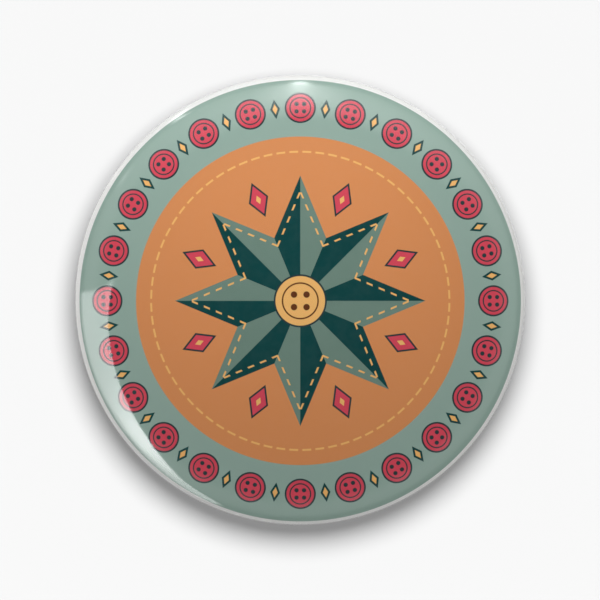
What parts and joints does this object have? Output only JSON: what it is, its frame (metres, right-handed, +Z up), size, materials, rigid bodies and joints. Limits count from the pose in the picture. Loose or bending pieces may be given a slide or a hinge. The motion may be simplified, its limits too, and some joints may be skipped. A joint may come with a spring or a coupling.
{
  "type": "pin-back button badge",
  "caption": "Round domed button badge: printed paper under clear film, crimped over a tinplate shell, with a back plate and a spring wire lock pin that opens.",
  "frame": {"origin": "centre of the rim plane at the back, where the badge lies against the cloth", "axes": "+X to the right and +Z up as the badge is worn and seen from the front, +Y out of the back into the cloth; the printed face looks along -Y"},
  "size_m": [0.0572, 0.0065, 0.0572],
  "materials": {
    "clear_film": "clear polyester film, gloss",
    "printed_paper": "printed paper, matt",
    "tinplate": "bright tinplate, finely rolled",
    "spring_wire": "nickel plated spring steel wire"
  },
  "bodies": {
    "badge": {"clear_film": "clear_film", "printed_paper": "printed_paper", "front_shell": "tinplate", "back_plate": "tinplate", "pin_base_wire": "spring_wire", "pin_coil": "spring_wire"},
    "needle": {"pin_needle": "spring_wire"}
  },
  "joints": [
    {"name": "needle_swing", "type": "hinge", "parent": "badge", "child": "needle", "pos_m": [-0.0175, -0.00055, 0.00147], "axis": [0, -0.6428, 0.766], "range_deg": [0, 28]}
  ]
}
